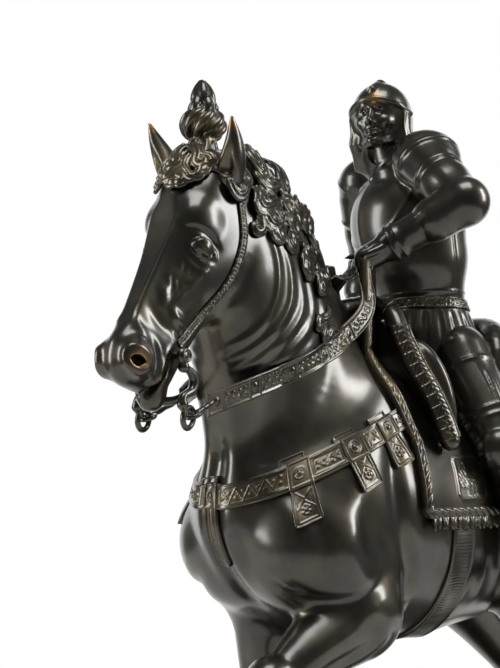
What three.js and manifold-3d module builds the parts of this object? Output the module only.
// An equestrian statuette in cast bronze: an armoured rider in a high war saddle, on a walking parade
// horse with one forefoot raised, standing on a low moulded plinth. Millimetres, +Z up. The horse faces -X
// and its left side is towards -Y. The origin is the centre of the plinth's underside.
//
// The two figures are modelled as clay: rounded forms pressed together in a block of samples, each sample
// holding its distance to the surface. The surface is drawn from the samples and then thinned to few
// facets. Straps are laid on the finished surface.

import * as THREE from "three";
import { mergeVertices } from "three/addons/utils/BufferGeometryUtils.js";
import Module from "manifold-3d";

const wasm = await Module();
wasm.setup();

// Driving dimensions
const withersHeight = 300; // from the plinth's top to the top of the horse's shoulders
const plinthHeight = 36;
const plinthEndMargin = 41; // from the hooves' reach to the plinth's foot
const plinthSideMargin = 37;
const plinthCornerRadius = 7; // of the waist, the narrowest part
const footHeight = 9;
const footProjection = 9; // how far the foot stands out from the waist
const lipHeight = 7;
const lipProjection = 5;
const strapThickness = 2.4;
const bossThickness = 4.1;
const girthThickness = 1.9;
const bridleThickness = 1.7;
const breastStrapWidth = 15;
const girthWidth = 20;
const bridleWidth = 6;
const reinWidth = 12.5;
const reinThickness = 1.6;
const pendantWidth = 13;
const pendantLength = 28;
const bitBarDiameter = 4;
const linkWire = 2.4; // the wire of the loop that joins a rein to the bit
const seatGap = 0.35; // between pieces that touch
const reinClearance = 0.45; // between a rein and the neck
const headTurn = 12; // degrees that the horse's head looks to its left
const riderTurn = 16; // degrees that the rider's chest turns to their right

// How finely each figure is sampled, and how many facets it keeps
const horseSample = 2.9;
const horseFacets = 4750;
const riderSample = 2;
const riderFacets = 2150;

// The hooves' reach as shares of the withers height: ahead, behind and to each side. The plinth is as
// large as they need, and they stand centred on it.
const STANCE = { front: 0.5, rear: -0.56, side: 0.17 };
const plinthLength = (STANCE.front - STANCE.rear) * withersHeight + 2 * plinthEndMargin;
const plinthWidth = 2 * (STANCE.side * withersHeight + plinthSideMargin);
const figureShift = ((STANCE.front + STANCE.rear) / 2) * withersHeight;

// A place on the figures as shares of the withers height: forward, to the left, and above the plinth.
const at = (forward, left, above) =>
  new THREE.Vector3(-forward, -left, above).multiplyScalar(withersHeight);
const size = (share) => share * withersHeight;
const bothSides = (make) => [1, -1].forEach(make);
const radians = THREE.MathUtils.degToRad;

// Forms: each has a box that holds it and the distance from a point to its surface.

// A tapered rod with round ends. `wide` scales it from left to right.
function rod(start, startShare, end, endShare, wide = 1) {
  const [startRadius, endRadius] = [size(startShare), size(endShare)];
  const stretch = (p) => new THREE.Vector3(p.x, p.y / wide, p.z);
  const [from, to] = [stretch(start), stretch(end)];
  const along = to.clone().sub(from);
  const lengthSquared = Math.max(along.lengthSq(), 1e-6);
  const taper = startRadius - endRadius;
  const slant = Math.max(lengthSquared - taper * taper, 0);
  const shrink = Math.min(1, wide);
  const box = new THREE.Box3()
    .expandByPoint(start)
    .expandByPoint(end)
    .expandByScalar(Math.max(startRadius, endRadius) * Math.max(1, wide));
  const distance = (x, y, z) => {
    const [px, py, pz] = [x - from.x, y / wide - from.y, z - from.z];
    const rise = px * along.x + py * along.y + pz * along.z;
    const past = rise - lengthSquared;
    const [ax, ay, az] = [
      px * lengthSquared - along.x * rise,
      py * lengthSquared - along.y * rise,
      pz * lengthSquared - along.z * rise,
    ];
    const aside = ax * ax + ay * ay + az * az;
    const limit = Math.sign(taper) * taper * taper * aside;
    if (Math.sign(past) * slant * past * past * lengthSquared > limit)
      return shrink * (Math.sqrt(aside + past * past * lengthSquared) / lengthSquared - endRadius);
    if (Math.sign(rise) * slant * rise * rise * lengthSquared < limit)
      return shrink * (Math.sqrt(aside + rise * rise * lengthSquared) / lengthSquared - startRadius);
    const slanted = Math.sqrt((aside * slant) / lengthSquared) + rise * taper;
    return shrink * (slanted / lengthSquared - startRadius);
  };
  return { box, distance };
}

// An ellipsoid with its radii as shares: forward, left and up. A positive `tip` raises its front end, and a
// positive `yaw` turns that end to the left.
function ball(centre, radii, { tip = 0, yaw = 0 } = {}) {
  const [a, b, c] = radii.map(size);
  const [cos, sin] = [Math.cos(radians(tip)), Math.sin(radians(tip))];
  const [yawCos, yawSin] = [Math.cos(radians(yaw)), Math.sin(radians(yaw))];
  const box = new THREE.Box3().expandByPoint(centre).expandByScalar(Math.max(a, b, c));
  const distance = (x, y, z) => {
    const [ox, oy, dz] = [x - centre.x, y - centre.y, z - centre.z];
    const [dx, v] = [ox * yawCos + oy * yawSin, (oy * yawCos - ox * yawSin) / b];
    const [u, w] = [(dx * cos - dz * sin) / a, (dz * cos + dx * sin) / c];
    const near = Math.sqrt(u * u + v * v + w * w);
    const slope = Math.sqrt((u / a) ** 2 + (v / b) ** 2 + (w / c) ** 2);
    return slope < 1e-9 ? -Math.min(a, b, c) : (near * (near - 1)) / slope;
  };
  return { box, distance };
}

const smoothMin = (a, b, blend) => {
  const share = Math.max(blend - Math.abs(a - b), 0) / Math.max(blend, 1e-6);
  return Math.min(a, b) - (share * share * blend) / 4;
};

// Clay: a block of space sampled at even steps, each sample the distance to the surface, negative inside.
class Clay {
  static far = 60;

  constructor(corners, step) {
    const box = new THREE.Box3().setFromPoints(corners);
    this.low = box.min;
    this.step = step;
    this.count = box.max.clone().sub(box.min).divideScalar(step).ceil().addScalar(1);
    this.samples = new Float32Array(this.count.x * this.count.y * this.count.z).fill(Clay.far);
  }

  // Mixes a form into the samples near it.
  press(form, margin, mix) {
    const { low, step, count, samples } = this;
    const first = form.box.min.clone().subScalar(margin).sub(low).divideScalar(step).ceil();
    first.max(new THREE.Vector3());
    const last = form.box.max.clone().addScalar(margin).sub(low).divideScalar(step).floor();
    last.min(count.clone().subScalar(1));
    for (let k = first.z; k <= last.z; k++)
      for (let j = first.y; j <= last.y; j++) {
        const row = (k * count.y + j) * count.x;
        for (let i = first.x; i <= last.x; i++) {
          const distance = form.distance(low.x + i * step, low.y + j * step, low.z + k * step);
          samples[row + i] = mix(samples[row + i], distance);
        }
      }
  }

  add(form, blendShare = 0) {
    const blend = size(blendShare);
    this.press(form, blend + 4 * this.step, (old, distance) => smoothMin(old, distance, blend));
  }

  cut(form, blendShare = 0) {
    const blend = size(blendShare);
    this.press(form, blend + 2 * this.step, (old, distance) => -smoothMin(-old, distance, blend));
  }

  // A chain of rods through stations, each [place, radius].
  limb(stations, blendShare = 0, wide = 1) {
    for (let i = 1; i < stations.length; i++)
      this.add(rod(...stations[i - 1], ...stations[i], wide), blendShare);
  }

  // Raises the surface by a thickness wherever `covers` gives a place a distance below zero.
  coat(box, thickness, covers) {
    const distance = (x, _, z) => size(covers(-x / withersHeight, z / withersHeight));
    this.press({ box, distance }, 0, (old, edge) => Math.min(old, Math.max(old - thickness, edge)));
  }

  // The distance at any point, blended from the eight samples round it.
  distanceAt(p) {
    const { low, step, count, samples } = this;
    const place = p.clone().sub(low).divideScalar(step);
    const [i, j, k] = [place.x, place.y, place.z].map(Math.floor);
    if (Math.min(i, j, k) < 0 || i >= count.x - 1 || j >= count.y - 1 || k >= count.z - 1) return Clay.far;
    const [u, v, w] = [place.x - i, place.y - j, place.z - k];
    let sum = 0;
    for (const [a, b, c] of CUBE_CORNERS) {
      const weight = (a ? u : 1 - u) * (b ? v : 1 - v) * (c ? w : 1 - w);
      sum += weight * samples[((k + c) * count.y + j + b) * count.x + i + a];
    }
    return sum;
  }

  // Where a ray from outside first meets the surface, or null.
  meet(start, towards, reach) {
    const direction = towards.clone().normalize();
    const probe = (travel) => start.clone().addScaledVector(direction, travel);
    for (let travel = 0; travel < reach; travel += this.step / 2) {
      if (this.distanceAt(probe(travel)) >= 0) continue;
      let [outside, inside] = [travel - this.step / 2, travel];
      for (let round = 0; round < 12; round++) {
        const middle = (outside + inside) / 2;
        if (this.distanceAt(probe(middle)) < 0) inside = middle;
        else outside = middle;
      }
      return probe(outside);
    }
    return null;
  }
}

const CUBE_CORNERS = [
  [0, 0, 0], [1, 0, 0], [1, 1, 0], [0, 1, 0],
  [0, 0, 1], [1, 0, 1], [1, 1, 1], [0, 1, 1],
];
// Six tetrahedra round the cube's diagonal from corner 0 to corner 6, all of one hand.
const TETRAHEDRA = [
  [0, 1, 2, 6], [0, 2, 3, 6], [0, 3, 7, 6], [0, 7, 4, 6], [0, 4, 5, 6], [0, 5, 1, 6],
];
// Even orders of four corners that put one corner, or one pair, first.
const FIRST_ONE = [[0, 1, 2, 3], [1, 0, 3, 2], [2, 0, 1, 3], [3, 0, 2, 1]];
const FIRST_TWO = [[0, 1, 2, 3], [0, 2, 3, 1], [0, 3, 1, 2], [1, 2, 0, 3], [1, 3, 2, 0], [2, 3, 0, 1]];

// The clay's surface as {points, triangles}, closed and facing out, by marching tetrahedra.
function surfaceOf(clay) {
  const { count, samples, low, step } = clay;
  const corners = CUBE_CORNERS.map(([a, b, c]) => (c * count.y + b) * count.x + a);
  const points = [];
  const triangles = [];
  const made = new Map();
  const crossing = (a, b) => {
    const [near, far] = a < b ? [a, b] : [b, a];
    const key = near * samples.length + far;
    let index = made.get(key);
    if (index === undefined) {
      const share = THREE.MathUtils.clamp(samples[near] / (samples[near] - samples[far]), 0.04, 0.96);
      const place = (n) => new THREE.Vector3(
        n % count.x, Math.floor(n / count.x) % count.y, Math.floor(n / (count.x * count.y)));
      index = points.push(place(near).lerp(place(far), share).multiplyScalar(step).add(low)) - 1;
      made.set(key, index);
    }
    return index;
  };
  const corner = (n) => samples[n] < 0;
  for (let k = 0; k < count.z - 1; k++)
    for (let j = 0; j < count.y - 1; j++)
      for (let i = 0; i < count.x - 1; i++) {
        const base = (k * count.y + j) * count.x + i;
        const solid = corners.reduce((sum, offset) => sum + corner(base + offset), 0);
        if (solid === 0 || solid === 8) continue;
        for (const tetrahedron of TETRAHEDRA) {
          const n = tetrahedron.map((c) => base + corners[c]);
          const inside = n.map(corner);
          const filled = inside.filter(Boolean).length;
          if (filled === 1 || filled === 3) {
            const [p, q, r, s] = FIRST_ONE[inside.indexOf(filled === 1)].map((c) => n[c]);
            const tip = [crossing(p, q), crossing(p, r), crossing(p, s)];
            triangles.push(filled === 1 ? tip : tip.reverse());
          } else if (filled === 2) {
            const order = FIRST_TWO.find(([a, b]) => inside[a] && inside[b]);
            const [p, q, r, s] = order.map((c) => n[c]);
            triangles.push([crossing(p, r), crossing(p, s), crossing(q, s)]);
            triangles.push([crossing(p, r), crossing(q, s), crossing(q, r)]);
          }
        }
      }
  return { points, triangles };
}

// A heap of possible edge collapses, the cheapest on top.
class Heap {
  items = [];

  push(item) {
    const { items } = this;
    let place = items.push(item) - 1;
    while (place > 0) {
      const above = (place - 1) >> 1;
      if (items[above].cost <= item.cost) break;
      items[place] = items[above];
      place = above;
    }
    items[place] = item;
  }

  pop() {
    const { items } = this;
    const top = items[0];
    const item = items.pop();
    if (!items.length) return top;
    let place = 0;
    for (;;) {
      let below = 2 * place + 1;
      if (below >= items.length) break;
      if (below + 1 < items.length && items[below + 1].cost < items[below].cost) below++;
      if (items[below].cost >= item.cost) break;
      items[place] = items[below];
      place = below;
    }
    items[place] = item;
    return top;
  }
}

// Thins a closed mesh to about `target` facets by collapsing the edges whose loss moves the surface least.
function thin({ points, triangles }, target) {
  const ROUNDNESS = 2e-3; // a little weight on edge length, so that flat stretches thin evenly
  const planes = points.map(() => new Float64Array(10)); // each point's sum of squared plane distances
  const around = points.map(() => new Set());
  const normalOf = ([a, b, c], moved, spot) => {
    const [p, q, r] = [a, b, c].map((n) => (n === moved ? spot : points[n]));
    return q.clone().sub(p).cross(r.clone().sub(p));
  };
  triangles.forEach((corners, t) => {
    const normal = normalOf(corners);
    const area = normal.length();
    if (area > 0) normal.divideScalar(area);
    const [x, y, z, w] = [normal.x, normal.y, normal.z, -normal.dot(points[corners[0]])];
    const terms = [x * x, x * y, x * z, x * w, y * y, y * z, y * w, z * z, z * w, w * w];
    for (const c of corners) {
      around[c].add(t);
      terms.forEach((term, i) => (planes[c][i] += term * area));
    }
  });
  const errorAt = (q, { x, y, z }) =>
    x * (q[0] * x + 2 * (q[1] * y + q[2] * z + q[3])) + y * (q[4] * y + 2 * (q[5] * z + q[6])) +
    z * (q[7] * z + 2 * q[8]) + q[9];
  const bestSpot = (q, a, b) => {
    const [m, n] = [new THREE.Matrix3(), new THREE.Vector3(-q[3], -q[6], -q[8])];
    m.set(q[0], q[1], q[2], q[1], q[4], q[5], q[2], q[5], q[7]);
    const scale = q[0] + q[4] + q[7];
    const middle = points[a].clone().lerp(points[b], 0.5);
    if (Math.abs(m.determinant()) < 1e-3 * scale ** 3) return middle;
    const spot = n.applyMatrix3(m.invert());
    return spot.distanceTo(middle) > 1.5 * points[a].distanceTo(points[b]) ? middle : spot;
  };
  const stamp = new Uint32Array(points.length);
  const heap = new Heap();
  const propose = (a, b) => {
    const q = planes[a].map((term, i) => term + planes[b][i]);
    const spot = bestSpot(q, a, b);
    const cost = Math.max(errorAt(q, spot), 0) + ROUNDNESS * points[a].distanceToSquared(points[b]) ** 1.5;
    heap.push({ cost, a, b, spot, stamps: [stamp[a], stamp[b]] });
  };
  const neighbours = (v) => {
    const found = new Set();
    for (const t of around[v]) triangles[t].forEach((n) => n !== v && found.add(n));
    return found;
  };
  points.forEach((_, v) => neighbours(v).forEach((n) => v < n && propose(v, n)));
  const turnsOver = (v, other, spot) => {
    for (const t of around[v]) {
      if (triangles[t].includes(other)) continue;
      const [before, after] = [normalOf(triangles[t]), normalOf(triangles[t], v, spot)];
      if (before.dot(after) < 0.25 * before.length() * after.length()) return true;
    }
    return false;
  };
  let left = triangles.length;
  while (left > target && heap.items.length) {
    const { a, b, spot, stamps } = heap.pop();
    if (stamps[0] !== stamp[a] || stamps[1] !== stamp[b] || !around[a].size || !around[b].size) continue;
    const beside = neighbours(b);
    const shared = [...neighbours(a)].filter((n) => beside.has(n));
    if (shared.length !== 2 || turnsOver(a, b, spot) || turnsOver(b, a, spot)) continue;
    for (const t of around[b]) {
      const corners = triangles[t];
      if (corners.includes(a)) {
        corners.forEach((n) => n !== b && around[n].delete(t));
        triangles[t] = null;
        left--;
      } else {
        corners[corners.indexOf(b)] = a;
        around[a].add(t);
      }
    }
    around[b].clear();
    points[a] = spot;
    planes[a] = planes[a].map((term, i) => term + planes[b][i]);
    stamp[b]++;
    const ring = neighbours(a);
    stamp[a]++;
    ring.forEach((n) => propose(a, n));
  }
  return { points, triangles: triangles.filter(Boolean) };
}

// A closed mesh as a BufferGeometry.
function geometryOf({ points, triangles }) {
  const geometry = new THREE.BufferGeometry().setFromPoints(triangles.flat().map((n) => points[n]));
  return mergeVertices(geometry, 1e-4);
}

// Thins a closed geometry.
function thinned({ attributes: { position }, index }, target) {
  const pointAt = (_, i) => new THREE.Vector3().fromBufferAttribute(position, i);
  const triangleAt = (_, t) => [0, 1, 2].map((corner) => index.getX(3 * t + corner));
  const points = Array.from({ length: position.count }, pointAt);
  const triangles = Array.from({ length: index.count / 3 }, triangleAt);
  return geometryOf(thin({ points, triangles }, target));
}

// The same form with only its places, and the places that are shared merged.
function closed(geometry) {
  const bare = geometry.clone();
  bare.deleteAttribute("normal");
  bare.deleteAttribute("uv");
  return mergeVertices(bare, 1e-4);
}

// Between a closed geometry and a solid that can be joined and cut.
function solidOf({ attributes, index }) {
  return new wasm.Manifold(new wasm.Mesh({
    numProp: 3,
    vertProperties: attributes.position.array,
    triVerts: new Uint32Array(index.array),
  }));
}

function geometryFrom(solid) {
  const { vertProperties, triVerts } = solid.getMesh();
  return new THREE.BufferGeometry()
    .setAttribute("position", new THREE.BufferAttribute(vertProperties, 3))
    .setIndex(new THREE.BufferAttribute(triVerts, 1));
}

const largest = (solid) => solid.decompose().sort((a, b) => b.volume() - a.volume())[0];
const union = (geometries) => geometries.map(solidOf).reduce((whole, piece) => whole.add(piece));

// The same mesh with every point pushed out along its normal.
function swollen(geometry, distance) {
  const grown = geometry.clone();
  grown.computeVertexNormals();
  const { position, normal } = grown.attributes;
  for (let i = 0; i < position.count; i++) {
    const move = new THREE.Vector3().fromBufferAttribute(normal, i).multiplyScalar(distance);
    position.setXYZ(i, position.getX(i) + move.x, position.getY(i) + move.y, position.getZ(i) + move.z);
  }
  grown.deleteAttribute("normal");
  return grown;
}

// Turns the horse's neck and head to its left. The turn grows from the neck's root upwards and forwards.
const TURN_PIVOT = at(0.22, 0, 0.9);
const TURN_RISE = at(0.8, 0, 0.6).normalize();
const TURN_SPAN = [0.08, 0.42];

function turnHead(geometry) {
  const { position } = geometry.attributes;
  const p = new THREE.Vector3();
  for (let i = 0; i < position.count; i++) {
    p.fromBufferAttribute(position, i).sub(TURN_PIVOT);
    const rise = p.dot(TURN_RISE);
    const share = THREE.MathUtils.smoothstep(rise, ...TURN_SPAN.map(size));
    p.applyAxisAngle(new THREE.Vector3(0, 0, 1), share * radians(headTurn)).add(TURN_PIVOT);
    position.setXYZ(i, p.x, p.y, p.z);
  }
  return geometry;
}

// The horse's head has its own frame: `down` runs from the poll to the muzzle, `out` stands off the
// brow towards the front, `left` goes sideways, all as shares of the head's length.
const POLL = [0.635, 1.379];
const HEAD_LENGTH = 0.445;
const HEAD_TILT = 29; // degrees that the face leans forward from hanging straight down
const [TILT_SIN, TILT_COS] = [Math.sin(radians(HEAD_TILT)), Math.cos(radians(HEAD_TILT))];
const face = (down, out, left) =>
  at(
    POLL[0] + HEAD_LENGTH * (down * TILT_SIN + out * TILT_COS),
    HEAD_LENGTH * left,
    POLL[1] + HEAD_LENGTH * (out * TILT_SIN - down * TILT_COS),
  );
const faceBall = (place, [down, left, out]) =>
  ball(face(...place), [out * HEAD_LENGTH, left * HEAD_LENGTH, down * HEAD_LENGTH], { tip: HEAD_TILT });
const faceSize = (share) => share * HEAD_LENGTH;

function horseTrunk(clay) {
  clay.limb([
    [at(0.32, 0, 0.745), 0.192], [at(0.18, 0, 0.735), 0.238], [at(0, 0, 0.72), 0.228],
    [at(-0.17, 0, 0.728), 0.212], [at(-0.33, 0, 0.755), 0.2], [at(-0.44, 0, 0.76), 0.165],
  ], 0.05, 0.8);
  bothSides((s) => {
    clay.add(ball(at(-0.36, 0.095 * s, 0.8), [0.15, 0.085, 0.13]), 0.06); // rump
    clay.add(ball(at(-0.42, 0.1 * s, 0.69), [0.125, 0.075, 0.16], { tip: -10 }), 0.06); // buttock
    clay.add(ball(at(0.37, 0.078 * s, 0.665), [0.088, 0.08, 0.112]), 0.03); // breast
    clay.add(rod(at(0.17, 0.09 * s, 0.92), 0.07, at(0.36, 0.115 * s, 0.7), 0.095, 0.8), 0.05); // shoulder
    clay.add(rod(at(0.37, 0.12 * s, 0.67), 0.085, at(0.25, 0.125 * s, 0.555), 0.08), 0.04); // upper arm
  });
}

function horseNeck(clay) {
  clay.limb([
    [at(0.22, 0, 0.86), 0.2], [at(0.335, 0, 0.99), 0.178], [at(0.425, 0, 1.11), 0.152],
    [at(0.505, 0, 1.21), 0.125], [at(0.56, 0, 1.275), 0.099],
  ], 0.05, 0.62);
  clay.limb([
    [at(0.12, 0, 0.985), 0.035], [at(0.21, 0, 1.09), 0.036], [at(0.3, 0, 1.225), 0.038],
    [at(0.4, 0, 1.312), 0.037], [at(0.49, 0, 1.335), 0.035], [at(0.57, 0, 1.32), 0.033],
  ], 0.05, 0.75); // crest
}

function horseHead(clay) {
  clay.limb([
    [face(0.06, -0.12, 0), faceSize(0.115)], [face(0.22, -0.155, 0), faceSize(0.15)],
    [face(0.38, -0.15, 0), faceSize(0.128)], [face(0.58, -0.13, 0), faceSize(0.1)],
    [face(0.8, -0.11, 0), faceSize(0.088)], [face(0.92, -0.12, 0), faceSize(0.088)],
  ], faceSize(0.06), 0.88);
  clay.limb([
    [face(0.5, -0.335, 0), faceSize(0.075)], [face(0.66, -0.28, 0), faceSize(0.062)],
    [face(0.84, -0.245, 0), faceSize(0.052)],
  ], faceSize(0.08), 1.1); // lower jaw
  clay.add(faceBall([0.935, -0.25, 0], [0.06, 0.06, 0.05]), faceSize(0.04)); // chin
  clay.add(faceBall([0.955, -0.135, 0], [0.068, 0.08, 0.085]), faceSize(0.05)); // upper lip
  bothSides((s) => {
    clay.add(faceBall([0.34, -0.285, 0.055 * s], [0.22, 0.062, 0.165]), faceSize(0.06)); // cheek
    clay.limb([
      [face(0.27, -0.09, 0.118 * s), faceSize(0.03)], [face(0.33, -0.065, 0.142 * s), faceSize(0.028)],
      [face(0.4, -0.1, 0.138 * s), faceSize(0.024)],
    ], faceSize(0.03)); // brow
    clay.add(faceBall([0.375, -0.135, 0.13 * s], [0.045, 0.042, 0.04]), faceSize(0.012)); // eye
    clay.limb([
      [face(0.44, -0.2, 0.115 * s), faceSize(0.026)], [face(0.64, -0.2, 0.08 * s), faceSize(0.018)],
    ], faceSize(0.04)); // cheekbone
    clay.add(faceBall([0.91, -0.065, 0.07 * s], [0.062, 0.035, 0.045]), faceSize(0.03)); // nostril wing
    clay.cut(faceBall([0.935, -0.045, 0.1 * s], [0.032, 0.03, 0.022]), faceSize(0.012)); // nostril
    const lips = [face(0.8, -0.215, 0.1 * s), face(1, -0.205, 0.03 * s)];
    clay.cut(rod(lips[0], faceSize(0.016), lips[1], faceSize(0.022)), 0.004); // mouth
  });
}

function horseEars(clay) {
  bothSides((s) => {
    clay.limb([
      [at(0.598, 0.052 * s, 1.325), 0.026], [at(0.605, 0.067 * s, 1.362), 0.029],
      [at(0.62, 0.08 * s, 1.402), 0.019], [at(0.638, 0.086 * s, 1.442), 0.005],
    ], 0.012, 0.75);
    clay.cut(rod(at(0.632, 0.085 * s, 1.36), 0.013, at(0.642, 0.093 * s, 1.405), 0.006), 0.008);
  });
}

// The bound forelock that stands on the poll: a neck, a ball and a pointed tuft.
function horseForelock(clay) {
  clay.limb([[at(0.605, 0, 1.35), 0.032], [at(0.6, 0, 1.39), 0.02]], 0.015);
  clay.add(ball(at(0.597, 0, 1.425), [0.036, 0.036, 0.028]), 0.006);
  clay.limb([[at(0.597, 0, 1.452), 0.024], [at(0.6, 0, 1.48), 0.018], [at(0.606, 0, 1.512), 0.005]], 0.008);
}

// Locks along the crest. Each leaves the crest and falls in an S to the side, ending in a curl.
const LOCKS = 11;
function horseMane(clay) {
  const crest = new THREE.CatmullRomCurve3([
    at(0.17, 0, 1.04), at(0.215, 0, 1.11), at(0.295, 0, 1.24), at(0.39, 0, 1.33), at(0.48, 0, 1.357),
    at(0.57, 0, 1.342),
  ]);
  for (let lock = 0; lock <= LOCKS; lock++)
    bothSides((s) => {
      const root = crest.getPoint(lock / LOCKS);
      const back = crest.getTangent(lock / LOCKS).multiplyScalar(-1);
      const swing = lock % 2 ? 1 : -1;
      const station = (drop, out, sway) =>
        root.clone().add(at(0.35 * drop, out * s, -0.85 * drop)).addScaledVector(back, size(sway));
      clay.limb([
        [station(-0.005, 0.008, 0), 0.024], [station(0.03, 0.046, 0.018 * swing), 0.025],
        [station(0.075, 0.08, -0.014 * swing), 0.022], [station(0.115, 0.094, 0.014 * swing), 0.018],
        [station(0.125, 0.102, 0.036 * swing), 0.014], [station(0.105, 0.108, 0.042 * swing), 0.01],
      ], 0.004);
    });
}

// The tail: a bone with strands wound round it.
function horseTail(clay) {
  const STRANDS = 5;
  const bone = [
    [at(-0.5, 0, 0.885), 0.036], [at(-0.565, 0, 0.885), 0.038], [at(-0.622, 0, 0.825), 0.042],
    [at(-0.655, 0, 0.7), 0.046], [at(-0.66, 0, 0.55), 0.046], [at(-0.645, 0, 0.4), 0.037],
    [at(-0.6, 0, 0.27), 0.018],
  ];
  clay.limb(bone.map(([place, radius]) => [place, radius * 0.75]), 0.02);
  for (let strand = 0; strand < STRANDS; strand++) {
    const stations = bone.slice(1).map(([place, radius], i) => {
      const angle = (strand / STRANDS) * 2 * Math.PI + i * 0.7;
      const offset = at(Math.cos(angle), Math.sin(angle), 0).multiplyScalar(radius * 0.75);
      return [place.clone().add(offset), radius * 0.5];
    });
    clay.limb(stations, 0.003);
  }
}

// A leg from its stations and its hoof, a cone cut flat by the ground.
function horseLeg(clay, stations, hoofTop, hoofToe) {
  clay.limb(stations, 0.02, 0.9);
  clay.add(rod(hoofTop, 0.036, hoofToe, 0.05), 0.008);
}

function horseLegs(clay) {
  horseLeg(clay, [
    [at(0.25, -0.12, 0.55), 0.085], [at(0.262, -0.12, 0.43), 0.058], [at(0.268, -0.115, 0.335), 0.041],
    [at(0.272, -0.115, 0.295), 0.044], [at(0.266, -0.115, 0.245), 0.032], [at(0.264, -0.115, 0.16), 0.027],
    [at(0.262, -0.115, 0.1), 0.036], [at(0.288, -0.115, 0.055), 0.03],
  ], at(0.292, -0.115, 0.05), at(0.302, -0.115, 0)); // right fore, standing
  horseLeg(clay, [
    [at(0.265, 0.125, 0.545), 0.085], [at(0.36, 0.13, 0.5), 0.062], [at(0.44, 0.13, 0.455), 0.044],
    [at(0.485, 0.13, 0.435), 0.046], [at(0.478, 0.13, 0.385), 0.033], [at(0.45, 0.128, 0.3), 0.028],
    [at(0.425, 0.126, 0.235), 0.036], [at(0.388, 0.126, 0.205), 0.029],
  ], at(0.372, 0.126, 0.192), at(0.34, 0.126, 0.145)); // left fore, raised
  horseLeg(clay, [
    [at(-0.3, 0.115, 0.64), 0.115], [at(-0.235, 0.13, 0.585), 0.085], [at(-0.3, 0.125, 0.47), 0.058],
    [at(-0.362, 0.118, 0.36), 0.044], [at(-0.352, 0.115, 0.29), 0.035], [at(-0.318, 0.112, 0.16), 0.03],
    [at(-0.298, 0.112, 0.1), 0.038], [at(-0.268, 0.112, 0.055), 0.031],
  ], at(-0.262, 0.112, 0.05), at(-0.25, 0.112, 0)); // left hind, forward
  horseLeg(clay, [
    [at(-0.36, -0.115, 0.64), 0.115], [at(-0.315, -0.13, 0.57), 0.085], [at(-0.42, -0.125, 0.46), 0.058],
    [at(-0.522, -0.118, 0.36), 0.044], [at(-0.528, -0.115, 0.29), 0.035], [at(-0.53, -0.112, 0.16), 0.03],
    [at(-0.528, -0.112, 0.1), 0.038], [at(-0.5, -0.112, 0.055), 0.031],
  ], at(-0.495, -0.112, 0.05), at(-0.485, -0.112, 0)); // right hind, trailing
  clay.limb([[at(-0.37, 0.118, 0.36), 0.03], [at(-0.405, 0.118, 0.395), 0.022]], 0.02); // left hock point
  clay.limb([[at(-0.53, -0.118, 0.36), 0.03], [at(-0.568, -0.118, 0.392), 0.022]], 0.02); // right hock point
}

// The saddle's seat, its high front bow with wings down over the thighs, and its rear bow.
function saddle(clay) {
  clay.add(ball(at(-0.05, 0, 0.945), [0.2, 0.13, 0.07]), 0.02);
  bothSides((s) => {
    clay.limb([
      [at(0.03, 0.198 * s, 0.8), 0.018], [at(0.065, 0.19 * s, 0.9), 0.022],
      [at(0.09, 0.165 * s, 1.01), 0.024], [at(0.112, 0.118 * s, 1.095), 0.024],
      [at(0.122, 0.055 * s, 1.135), 0.025], [at(0.124, 0, 1.142), 0.025],
    ], 0.01);
    clay.limb([
      [at(-0.13, 0.16 * s, 0.99), 0.024], [at(-0.15, 0.14 * s, 1.075), 0.027],
      [at(-0.19, 0.09 * s, 1.115), 0.028], [at(-0.205, 0, 1.125), 0.028],
    ], 0.01);
    clay.add(ball(at(0.06, 0.12 * s, 0.95), [0.035, 0.08, 0.13], { tip: -15 }), 0.02);
  });
  clay.add(ball(at(0.1, 0, 1.03), [0.03, 0.125, 0.105], { tip: -8 }), 0.015);
  clay.add(ball(at(-0.18, 0, 1.02), [0.035, 0.145, 0.1], { tip: 15 }), 0.015);
}

// The saddle cloth, seen from the side: how far outside its outline a place is.
const CLOTH = {
  front: 0.235, slant: 0.45, sloped: 0.165, rear: -0.27, hem: 0.715, top: 1.04, corner: 0.03, border: 0.032,
  thick: 0.01, raised: 0.006,
};
function clothEdge(forward, above) {
  const middle = (CLOTH.front + CLOTH.rear) / 2;
  const leaned = forward + (forward > middle ? CLOTH.slant * Math.min(CLOTH.top - above, CLOTH.sloped) : 0);
  const beyondLength = Math.abs(leaned - middle) - (CLOTH.front - CLOTH.rear) / 2 + CLOTH.corner;
  const beyondHeight = CLOTH.hem - above + CLOTH.corner;
  return Math.hypot(Math.max(beyondLength, 0), Math.max(beyondHeight, 0)) +
    Math.min(Math.max(beyondLength, beyondHeight), 0) - CLOTH.corner;
}

function saddleCloth(clay) {
  const box = new THREE.Box3().setFromPoints([at(0.3, 0.3, CLOTH.hem - 0.05), at(-0.4, -0.3, CLOTH.top)]);
  clay.coat(box, size(CLOTH.thick), clothEdge);
  clay.coat(box, size(CLOTH.raised), (forward, above) =>
    Math.abs(clothEdge(forward, above) + CLOTH.border / 2) - CLOTH.border / 2);
}

// The bare horse, before its dress.
function bareHorse() {
  const clay = new Clay([at(1, 0.3, -0.08), at(-0.75, -0.3, 1.56)], horseSample);
  horseTrunk(clay);
  horseNeck(clay);
  horseHead(clay);
  horseLegs(clay);
  return clay;
}

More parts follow.
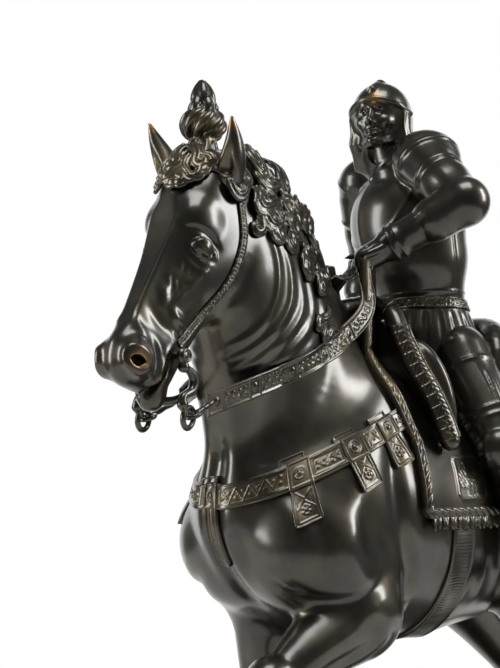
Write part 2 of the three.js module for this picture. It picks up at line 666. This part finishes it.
// A closed slab over a grid of places, each {place, out}, from `low` to `high` along `out`.
function slab(grid, low, high) {
  const [rows, columns] = [grid.length, grid[0].length];
  const points = [high, low].flatMap((level) =>
    grid.flat().map(({ place, out }) => place.clone().addScaledVector(out, level)));
  const triangles = [];
  const quad = (a, b, c, d) => triangles.push([a, b, c], [a, c, d]);
  const index = (side, [row, column]) => (side * rows + row) * columns + column;
  for (let r = 0; r < rows - 1; r++)
    for (let c = 0; c < columns - 1; c++) {
      const cell = [[r, c], [r + 1, c], [r + 1, c + 1], [r, c + 1]];
      quad(...cell.map((corner) => index(0, corner)));
      quad(...cell.map((corner) => index(1, corner)).reverse());
    }
  const rim = [
    ...Array.from({ length: columns - 1 }, (_, c) => [0, c]),
    ...Array.from({ length: rows - 1 }, (_, r) => [r, columns - 1]),
    ...Array.from({ length: columns - 1 }, (_, c) => [rows - 1, columns - 1 - c]),
    ...Array.from({ length: rows - 1 }, (_, r) => [rows - 1 - r, 0]),
  ];
  rim.forEach((corner, i) => {
    const next = rim[(i + 1) % rim.length];
    quad(index(0, corner), index(0, next), index(1, next), index(1, corner));
  });
  const volume = triangles.reduce((sum, [a, b, c]) =>
    sum + points[a].dot(points[b].clone().cross(points[c])), 0);
  if (volume < 0) triangles.forEach((corners) => corners.reverse());
  return geometryOf({ points, triangles });
}

// A strap laid where rays meet the clay. `ray` gives a ray's start and target for a share from 0 to 1
// along the strap and from -1 to 1 across it.
function lay(clay, ray, steps, height) {
  const SUNK = 1.3; // how deep a cast-on strap starts under the surface
  const grid = Array.from({ length: steps + 1 }, (_, i) =>
    [-1, 1].map((across) => {
      const [start, target] = ray(i / steps, across);
      const towards = target.clone().sub(start);
      const place = clay.meet(start, towards, towards.length()) ?? target;
      return { place, out: towards.normalize().negate() };
    }));
  return slab(grid, -SUNK, height);
}

// The straps round the breast and the haunches lie in sloping planes. They are seen from a centre, in
// degrees from straight ahead.
const BREAST = { facing: 0, ends: 104, centre: 0.2, above: 0.9, slope: -0.45, tabs: [0, 33, 58, 83] };
const BREECH = { facing: 180, ends: 100, centre: -0.3, above: 0.84, slope: 0.3, tabs: [36, 64] };
const STRAP_REACH = 0.42;

function strapRay({ centre, above, slope }, turn, raised) {
  const place = (reach) => {
    const forward = centre + Math.cos(radians(turn)) * reach;
    return at(forward, Math.sin(radians(turn)) * reach, above + slope * (forward - centre))
      .add(new THREE.Vector3(0, 0, raised));
  };
  return [place(STRAP_REACH), place(0)];
}

// A body strap with its hanging tabs, and a square boss over each.
function bodyStrap(clay, strap) {
  const half = breastStrapWidth / 2;
  const turnAt = (along) => strap.facing + (2 * along - 1) * strap.ends;
  const band = (along, across) => strapRay(strap, turnAt(along), across * half);
  const pieces = [lay(clay, band, 26, strapThickness)];
  const turns = strap.tabs.flatMap((turn) => (turn ? [turn, -turn] : [0]));
  for (const turn of turns) {
    const [start, centre] = strapRay(strap, strap.facing + turn, 0);
    const away = clay.meet(start, centre.clone().sub(start), size(STRAP_REACH)).distanceTo(centre);
    const spread = THREE.MathUtils.radToDeg(pendantWidth / 2 / away);
    const edge = (across) => strap.facing + turn + across * spread;
    const tab = (along, across) => strapRay(strap, edge(across), -half - (along - 0.1) * pendantLength);
    const boss = (along, across) => strapRay(strap, edge(across), (2 * along - 1) * half * 1.06);
    pieces.push(lay(clay, tab, 3, strapThickness), lay(clay, boss, 1, bossThickness));
  }
  return pieces;
}

// The girth, seen from a centre in the trunk, in degrees from straight down.
const GIRTH = { forward: 0.03, above: 0.74, ends: 75, reach: 0.4 };
function girth(clay) {
  const ray = (along, across) => {
    const turn = radians((2 * along - 1) * GIRTH.ends);
    const forward = GIRTH.forward + (across * girthWidth) / 2 / withersHeight;
    const place = (reach) => at(forward, Math.sin(turn) * reach, GIRTH.above - Math.cos(turn) * reach);
    return [place(GIRTH.reach), place(0)];
  };
  return lay(clay, ray, 16, girthThickness);
}

// The bridle: a cheek strap down each side of the head to the bit, and a band over the brow.
const BIT_PLACE = [0.8, -0.25]; // the mouth's corner, down and out
const BIT_LEFT = 0.125;
const BROW_BAND = { down: 0.13, out: -0.14, ends: 85 }; // its centre in the head, and its ends in degrees
function bridle(clay) {
  const half = bridleWidth / 2 / size(HEAD_LENGTH);
  const cheek = (s) => (along, across) => {
    const down = THREE.MathUtils.lerp(0.04, BIT_PLACE[0] - 0.04, along);
    const out = THREE.MathUtils.lerp(-0.16, BIT_PLACE[1] + 0.02, along) + across * half;
    return [face(down, out, 0.6 * s), face(down, out, 0)];
  };
  const brow = (along, across) => {
    const turn = radians((2 * along - 1) * BROW_BAND.ends);
    const place = (reach) =>
      face(BROW_BAND.down + across * half, BROW_BAND.out + Math.cos(turn) * reach, Math.sin(turn) * reach);
    return [place(0.5), place(0)];
  };
  return [cheek(1), cheek(-1), brow].map((ray) => lay(clay, ray, 12, bridleThickness));
}

// The curb bit: a curved shank on each side of the mouth, ending in a ring, with a bar through the mouth
// and another under the chin.
const BIT_RING = [1, -0.41]; // the ring's centre, down and out
const ringRadius = 1.45 * bitBarDiameter;
const ringPlace = (s) => face(...BIT_RING, BIT_LEFT * s);

function curbBit() {
  const tube = (places, radius, steps) => {
    const round = new THREE.Shape().absarc(0, 0, radius, 0, 2 * Math.PI);
    const path = new THREE.CatmullRomCurve3(places.map((place) => face(...place)));
    return closed(new THREE.ExtrudeGeometry(round, { extrudePath: path, steps, curveSegments: 3 }));
  };
  const radius = bitBarDiameter / 2;
  const [down, out] = BIT_PLACE;
  const shank = (s) => tube([
    [down, out, BIT_LEFT * s], [down + 0.02, out - 0.08, (BIT_LEFT + 0.01) * s],
    [down + 0.08, out - 0.13, (BIT_LEFT + 0.012) * s], [down + 0.13, out - 0.12, (BIT_LEFT + 0.005) * s],
    [down + 0.165, out - 0.13, BIT_LEFT * s],
  ], radius, 7);
  const ring = (s) =>
    closed(new THREE.TorusGeometry(ringRadius, radius * 0.8, 5, 12))
      .rotateX(Math.PI / 2)
      .translate(...ringPlace(s));
  const boss = (s) =>
    closed(new THREE.SphereGeometry(bitBarDiameter, 7, 5)).translate(...face(down, out, BIT_LEFT * s));
  const bar = (place) => tube([[...place, BIT_LEFT], [...place, -BIT_LEFT]], radius * 0.9, 1);
  return [
    ...[1, -1].flatMap((s) => [shank(s), ring(s), boss(s)]),
    bar(BIT_PLACE),
    bar([down + 0.13, out - 0.12]),
  ];
}

// The places of a rein's middle line: forward, left and above. It starts behind the bit's ring, lies on the
// neck and ends in the rider's left hand, the right rein having crossed over the mane.
const HAND = [0.185, 0.07, 1.22];
const REINS = {
  left: [
    [0.615, 0.055, 0.925], [0.53, 0.085, 0.955], [0.43, 0.1, 0.99], [0.28, 0.1, 1.06],
    [0.2, 0.1, 1.13], HAND,
  ],
  right: [
    [0.56, -0.06, 0.94], [0.5, -0.085, 0.965], [0.43, -0.1, 0.99], [0.28, -0.12, 1.07],
    [0.175, -0.09, 1.14], [0.15, -0.01, 1.21], HAND,
  ],
};

// The band of a rein, lying out from the neck wherever the neck is in its way.
function reinBand(clay, line, side) {
  const STEPS = 18;
  const outward = at(0, side, 0).normalize();
  const half = reinWidth / 2;
  const grid = Array.from({ length: STEPS + 1 }, (_, i) => {
    const middle = line.getPointAt(i / STEPS);
    const tangent = line.getTangentAt(i / STEPS);
    const across = tangent.clone().cross(outward).normalize();
    const out = across.clone().cross(tangent).normalize();
    return [-1, 1].map((edge) => {
      const place = middle.clone().addScaledVector(across, edge * half * (i === STEPS ? 0.7 : 1));
      const start = place.clone().addScaledVector(outward, size(0.3));
      const met = clay.meet(start, outward.clone().negate(), size(0.5));
      if (met && (met.y - place.y) * outward.y > 0) place.y = met.y;
      return { place, out };
    });
  });
  return slab(grid, reinClearance, reinClearance + reinThickness);
}

// A rein: its band, a wire loop through the bit's ring, and the stalk between them.
function rein(clay, places) {
  const side = Math.sign(places[0][1]);
  const line = new THREE.CatmullRomCurve3(places.map((place) => at(...place)));
  const ring = ringPlace(side);
  const outward = at(0, side, 0).normalize();
  const start = line.getPoint(0).addScaledVector(outward, reinClearance + reinThickness / 2);
  const towards = start.clone().sub(ring).normalize();
  const loopRadius = ringRadius * 0.85;
  const sideways = new THREE.Vector3(0, 1, 0).addScaledVector(towards, -towards.y).normalize();
  const loopFrame = new THREE.Matrix4().makeBasis(towards, sideways, towards.clone().cross(sideways));
  const loop = closed(new THREE.TorusGeometry(loopRadius, linkWire / 2, 5, 10))
    .applyMatrix4(loopFrame)
    .translate(...ring.clone().addScaledVector(towards, loopRadius));
  const round = new THREE.Shape().absarc(0, 0, linkWire * 0.65, 0, 2 * Math.PI);
  const stalkStart = ring.clone().addScaledVector(towards, 2 * loopRadius);
  const stalkEnd = start.clone().addScaledVector(towards, reinWidth / 3);
  const extrudePath = new THREE.LineCurve3(stalkStart, stalkEnd);
  const stalk = closed(new THREE.ExtrudeGeometry(round, { extrudePath, steps: 1, curveSegments: 3 }));
  return geometryFrom(union([reinBand(clay, line, side), loop, stalk]));
}

// The rider

const WAIST = -0.08; // how far ahead of the withers the waist is
const HEAD = { forward: 0.045, above: 1.565, yaw: 24 };

// A place on a part of the rider that is turned to the left about an upright axis.
const turnedAt = (axis, yaw) => (forward, left, above) => {
  const [cos, sin] = [Math.cos(radians(yaw)), Math.sin(radians(yaw))];
  return at(axis + forward * cos - left * sin, forward * sin + left * cos, above);
};
const onChest = turnedAt(WAIST, -riderTurn);

function riderBody(clay) {
  const yaw = -riderTurn;
  clay.add(ball(at(-0.085, 0, 1.05), [0.085, 0.11, 0.085]));
  clay.add(rod(at(-0.085, 0, 1.08), 0.088, at(WAIST, 0, 1.18), 0.068, 1.08), 0.02);
  clay.add(rod(at(WAIST, 0, 1.165), 0.075, at(WAIST, 0, 1.182), 0.075, 1.08), 0.004); // belt
  clay.add(ball(onChest(0.035, 0, 1.345), [0.094, 0.13, 0.142], { tip: -14, yaw }), 0.02);
  clay.add(ball(onChest(0.085, 0, 1.315), [0.07, 0.1, 0.105], { tip: -10, yaw }), 0.02); // breastplate
  clay.add(ball(onChest(-0.005, 0, 1.37), [0.062, 0.112, 0.105], { tip: -10, yaw }), 0.02); // backplate
  clay.limb([[at(-0.01, 0, 1.44), 0.058], [at(0.008, 0, 1.485), 0.046], [at(0.024, 0, 1.515), 0.04]], 0.01);
  for (let lame = 0; lame < 3; lame++) {
    const [above, share] = [1.13 - 0.03 * lame, 0.084 + 0.011 * lame];
    clay.add(rod(at(-0.085, 0, above), share, at(-0.085, 0, above - 0.012), share + 0.006, 1.12), 0.002);
  }
}

// Places and forms on the rider's head, from its middle.
function headClay(clay) {
  const { yaw } = HEAD;
  const turned = turnedAt(HEAD.forward, yaw);
  const on = (forward, left, above) => turned(forward, left, HEAD.above + above);
  return {
    lump: (place, radii, blend) => clay.add(ball(on(...place), radii, { yaw }), blend),
    hollow: (place, radii, blend) => clay.cut(ball(on(...place), radii, { yaw }), blend),
    roll: (stations, blend) => clay.limb(stations.map(([place, radius]) => [on(...place), radius]), blend),
  };
}

// The helmet is an open sallet: a round skull with a low comb, flaring out over the neck.
function riderHelmet(clay) {
  const { lump, hollow, roll } = headClay(clay);
  lump([-0.008, 0, 0.012], [0.069, 0.061, 0.066]);
  roll([[[-0.03, 0, -0.02], 0.052], [[-0.052, 0, -0.07], 0.05], [[-0.06, 0, -0.085], 0.054]], 0.01);
  bothSides((s) => roll([
    [[0, 0.042 * s, 0], 0.022], [[-0.005, 0.052 * s, -0.05], 0.018], [[-0.03, 0.052 * s, -0.088], 0.02],
  ], 0.01));
  roll([[[0.05, 0, 0.052], 0.007], [[0, 0, 0.074], 0.01], [[-0.055, 0, 0.06], 0.008]], 0.01); // comb
  hollow([0.07, 0, -0.022], [0.034, 0.043, 0.04], 0.004); // the face's opening
  roll([
    [[0.015, 0.063, 0.012], 0.008], [[0.05, 0.036, 0.022], 0.008], [[0.06, 0, 0.026], 0.008],
    [[0.05, -0.036, 0.022], 0.008], [[0.015, -0.063, 0.012], 0.008],
  ], 0.003); // rolled rim
}

function riderFace(clay) {
  const { lump, hollow, roll } = headClay(clay);
  lump([0.016, 0, -0.014], [0.046, 0.04, 0.052], 0.002);
  lump([0.036, 0, -0.056], [0.02, 0.022, 0.015], 0.01); // chin
  roll([[[0.058, 0, -0.002], 0.005], [[0.07, 0, -0.024], 0.008]], 0.006); // nose
  bothSides((s) => {
    hollow([0.064, 0.018 * s, -0.002], [0.008, 0.011, 0.007], 0.004);
    lump([0.05, 0.018 * s, -0.003], [0.008, 0.009, 0.006], 0.002); // eye
    lump([0.046, 0.026 * s, -0.026], [0.014, 0.012, 0.012], 0.01); // cheek
  });
  roll([
    [[0.057, 0.012, -0.042], 0.005], [[0.06, 0, -0.041], 0.006], [[0.057, -0.012, -0.042], 0.005],
  ], 0.004); // lips
}

// An arm in smooth plate: a pauldron over a second plate, a couter at the elbow and a cuffed gauntlet.
function riderArm(clay, s, [elbow, wrist, knuckles]) {
  const shoulder = onChest(0.07, 0.13 * s, 1.448);
  const between = (from, to, share) => from.clone().lerp(to, share);
  clay.limb([[shoulder, 0.05], [between(shoulder, elbow, 0.55), 0.049], [elbow, 0.044]], 0.01);
  clay.limb([[elbow, 0.036], [wrist, 0.026]], 0.004);
  clay.add(ball(onChest(0.058, 0.118 * s, 1.462), [0.074, 0.064, 0.062], { yaw: -riderTurn }), 0.012);
  clay.add(rod(between(shoulder, elbow, 0.1), 0.056, between(shoulder, elbow, 0.34), 0.054), 0.004);
  clay.add(ball(elbow, [0.05, 0.05, 0.05]), 0.006);
  clay.add(rod(between(elbow, wrist, 0.1), 0.048, between(elbow, wrist, 0.44), 0.045), 0.002);
  clay.add(rod(between(elbow, wrist, 0.38), 0.037, between(elbow, wrist, 0.98), 0.031), 0.001);
  clay.add(rod(between(elbow, wrist, 0.94), 0.036, wrist, 0.036), 0.001);
  const fingers = knuckles.clone().add(at(0.004, -0.012 * s, -0.016));
  clay.limb([[wrist, 0.026], [knuckles, 0.029], [fingers, 0.024]], 0.006);
}

// A leg in plate. Its foot rests in a stirrup that hangs on a leather.
function riderLeg(clay, s) {
  const hip = at(-0.085, 0.09 * s, 1.05);
  const knee = at(-0.07, 0.215 * s, 0.855);
  clay.limb([[hip, 0.072], [knee, 0.05]], 0.01);
  const ankle = at(-0.165, 0.234 * s, 0.6);
  clay.limb([[knee, 0.042], [at(-0.105, 0.226 * s, 0.755), 0.044], [ankle, 0.028]], 0.01);
  clay.add(ball(at(-0.062, 0.217 * s, 0.857), [0.052, 0.048, 0.05]), 0.003); // poleyn
  clay.add(ball(at(-0.075, 0.257 * s, 0.855), [0.046, 0.013, 0.042]), 0.003); // its side wing
  clay.limb([
    [at(-0.178, 0.234 * s, 0.572), 0.028], [at(-0.118, 0.24 * s, 0.55), 0.026],
    [at(-0.06, 0.245 * s, 0.538), 0.016],
  ], 0.012); // sabaton
}

function stirrup(clay, s) {
  const TREAD = { above: 0.514, outer: 0.277, inner: 0.197 };
  const top = at(-0.102, 0.236 * s, 0.67);
  const corner = (left, above) => at(-0.12, left * s, TREAD.above + above);
  for (const left of [TREAD.outer, TREAD.inner])
    clay.limb([[corner(left, 0), 0.009], [corner(left, 0.085), 0.009], [top, 0.01]]);
  clay.limb([[corner(TREAD.outer, 0), 0.014], [corner(TREAD.inner, 0), 0.014]]);
  clay.limb([[top, 0.011], [at(-0.06, 0.2 * s, 0.84), 0.011]], 0.004); // its leather
}

function riderClay() {
  const clay = new Clay([at(0.3, 0.33, 0.46), at(-0.25, -0.33, 1.68)], riderSample);
  riderBody(clay);
  riderHelmet(clay);
  riderFace(clay);
  riderArm(clay, 1, [at(0.055, 0.235, 1.34), at(0.135, 0.115, 1.265), at(0.178, 0.08, 1.232)]);
  riderArm(clay, -1, [at(-0.13, -0.205, 1.295), at(-0.065, -0.192, 1.15), at(-0.025, -0.172, 1.088)]);
  bothSides((s) => {
    riderLeg(clay, s);
    stirrup(clay, s);
  });
  return clay;
}

// The plinth: a rounded rectangle whose sides follow a moulding of a foot, a hollow and a lip. The profile's
// points are how far in from the foot, and how high.
function plinthProfile() {
  const ARC = 3;
  const [edge, waistTop] = [1, plinthHeight - lipHeight];
  const hollow = waistTop - footHeight;
  const lipInset = footProjection - lipProjection;
  const arc = (along) => Array.from({ length: ARC + 1 }, (_, i) => along((i / ARC) * (Math.PI / 2)));
  return [
    [0, 0], [0, footHeight - edge], [edge, footHeight],
    ...arc((turn) => [
      edge + 1 + (footProjection - edge - 1) * Math.sin(turn),
      footHeight + hollow * (0.05 + 0.45 * (1 - Math.cos(turn))),
    ]),
    ...arc((turn) => [
      footProjection - (lipProjection - edge) * (1 - Math.cos(turn)),
      waistTop - hollow * 0.35 * (1 - Math.sin(turn)),
    ]),
    [lipInset, waistTop], [lipInset, plinthHeight - edge], [lipInset + edge, plinthHeight],
  ];
}

function plinthGeometry() {
  const CORNER = 3;
  const waistRadius = plinthCornerRadius + footProjection;
  const [x, y] = [plinthLength / 2 - waistRadius, plinthWidth / 2 - waistRadius];
  const rings = plinthProfile().map(([inset, above]) =>
    [[x, y], [-x, y], [-x, -y], [x, -y]].flatMap(([cx, cy], corner) =>
      Array.from({ length: CORNER + 1 }, (_, i) => {
        const turn = (corner + i / CORNER) * (Math.PI / 2);
        const radius = waistRadius - inset;
        return new THREE.Vector3(cx + radius * Math.cos(turn), cy + radius * Math.sin(turn), above);
      })));
  const around = rings[0].length;
  const triangles = [];
  for (let ring = 0; ring < rings.length - 1; ring++)
    for (let i = 0; i < around; i++) {
      const [a, b] = [ring * around + i, ring * around + ((i + 1) % around)];
      triangles.push([a, b, b + around], [a, b + around, a + around]);
    }
  const last = (rings.length - 1) * around;
  for (let i = 1; i < around - 1; i++) triangles.push([0, i + 1, i], [last, last + i, last + i + 1]);
  return geometryOf({ points: rings.flat(), triangles });
}

// Makes every solid of the statuette, each clear of its neighbours by the seat gap.
function solids() {
  const clay = bareHorse();
  const straps = [...bodyStrap(clay, BREAST), ...bodyStrap(clay, BREECH), girth(clay), ...bridle(clay)];
  const reins = Object.values(REINS).map((places) => turnHead(rein(clay, places)));
  const bit = geometryFrom(union(curbBit().map(turnHead)));
  [saddleCloth, saddle, horseEars, horseForelock, horseMane, horseTail].forEach((dress) => dress(clay));
  const body = geometryOf(thin(surfaceOf(clay), 2 * horseFacets));
  const dressed = thinned(geometryFrom(union([body, ...straps])), horseFacets);

  const ground = closed(new THREE.BoxGeometry(size(3), size(2), size(1))).translate(0, 0, -size(1) / 2);
  const clearOf = (solid, others) =>
    others.reduce((left, other) => left.subtract(solidOf(swollen(other, seatGap * 1.3))), solid);
  const standing = solidOf(turnHead(dressed)).subtract(solidOf(ground));
  const horse = geometryFrom(largest(clearOf(standing, [bit, ...reins])));
  const rider = geometryOf(thin(surfaceOf(riderClay()), riderFacets));
  return { horse, rider: geometryFrom(largest(clearOf(solidOf(rider), [horse, ...reins]))), bit, reins };
}

const bronze = new THREE.MeshStandardMaterial({ color: 0x1c1916, roughness: 0.34, metalness: 0.85 });
const plinthBronze = new THREE.MeshStandardMaterial({ color: 0x201c18, roughness: 0.4, metalness: 0.85 });

function named(name, geometry, material) {
  const mesh = new THREE.Mesh(geometry, material.clone());
  mesh.name = name;
  return mesh;
}

const made = solids();
const figures = new THREE.Group();
figures.position.set(figureShift, 0, plinthHeight);
figures.add(
  named("horse", made.horse, bronze),
  named("rider", made.rider, bronze),
  named("bridle_bit", made.bit, bronze),
  named("rein_left", made.reins[0], bronze),
  named("rein_right", made.reins[1], bronze),
);

const statuette = new THREE.Group();
statuette.add(named("plinth", plinthGeometry(), plinthBronze), figures);

export default statuette;
